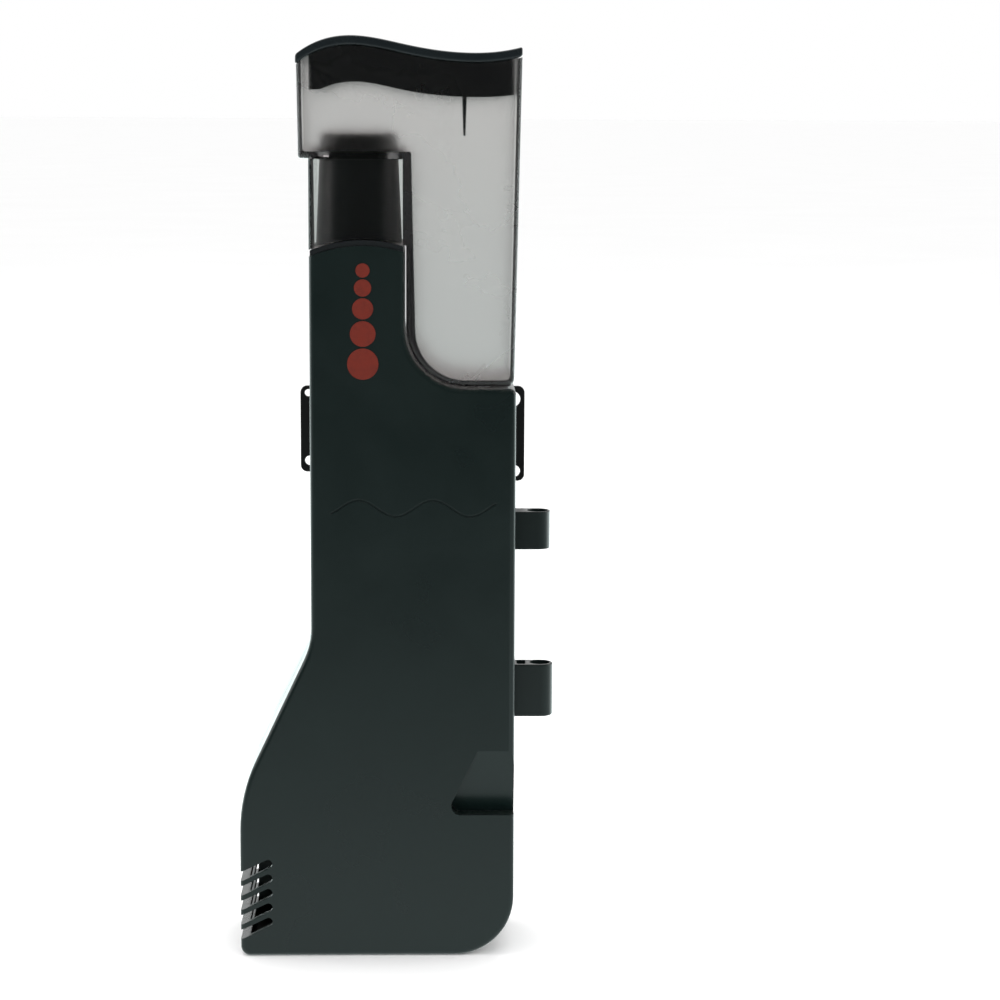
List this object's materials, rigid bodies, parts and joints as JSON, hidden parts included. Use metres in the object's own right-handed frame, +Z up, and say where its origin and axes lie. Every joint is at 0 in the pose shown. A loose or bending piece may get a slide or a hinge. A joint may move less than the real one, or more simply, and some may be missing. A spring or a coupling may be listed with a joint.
{
  "type": "aquarium protein skimmer",
  "caption": "Tall black air-driven foam skimmer for a small marine aquarium, with a frosted lift-off foam cup, wavy lid, slanted louvres in a foot, hose guides and a suction-cup holder.",
  "frame": {"origin": "on the flat bottom of the housing, under the middle of its column and at mid depth", "axes": "+X towards the hose guides, +Y towards the aquarium glass, +Z up"},
  "size_m": [0.1149, 0.0652, 0.3349],
  "materials": {
    "housing": "moulded, semi-gloss",
    "guide": "moulded, semi-gloss",
    "lid": "moulded, satin",
    "riser": "satin",
    "inner_plastic": "satin",
    "holder": "satin",
    "pipe": "smooth, grey",
    "cup": "clear moulded styrene with frosted chamber walls",
    "seal": "soft black",
    "suction_rubber": "soft, smooth",
    "limewood": "raw, fine grained",
    "screws": "stainless",
    "mark": "printed red"
  },
  "bodies": {
    "housing": {"front_shell": "housing", "rear_shell": "housing", "shell_screws": "screws", "partition": "inner_plastic", "bubble_screen": "inner_plastic", "outlet_grille": "inner_plastic", "wood_diffuser": "limewood", "diffuser_cradle": "inner_plastic", "air_pipe": "pipe", "upper_hose_guide": "housing", "lower_hose_guide": "guide", "air_inlet_nipple": "pipe", "riser_tube": "riser", "left_rail": "holder", "right_rail": "holder", "front_mark": "mark"},
    "cup": {"foam_cup": "cup", "cup_seal": "seal"},
    "lid": {"cup_lid": "lid"},
    "holder": {"holder_plate": "holder", "left_suction_cup": "suction_rubber", "right_suction_cup": "suction_rubber"}
  },
  "joints": [
    {"name": "cup_lift", "type": "slide", "parent": "housing", "child": "cup", "axis": [0, 0, 1], "range_m": [0, 0.06]},
    {"name": "lid_lift", "type": "slide", "parent": "cup", "child": "lid", "axis": [0, 0, 1], "range_m": [0, 0.04]},
    {"name": "holder_slide", "type": "slide", "parent": "housing", "child": "holder", "axis": [0, 0, 1], "range_m": [-0.06, 0]}
  ]
}
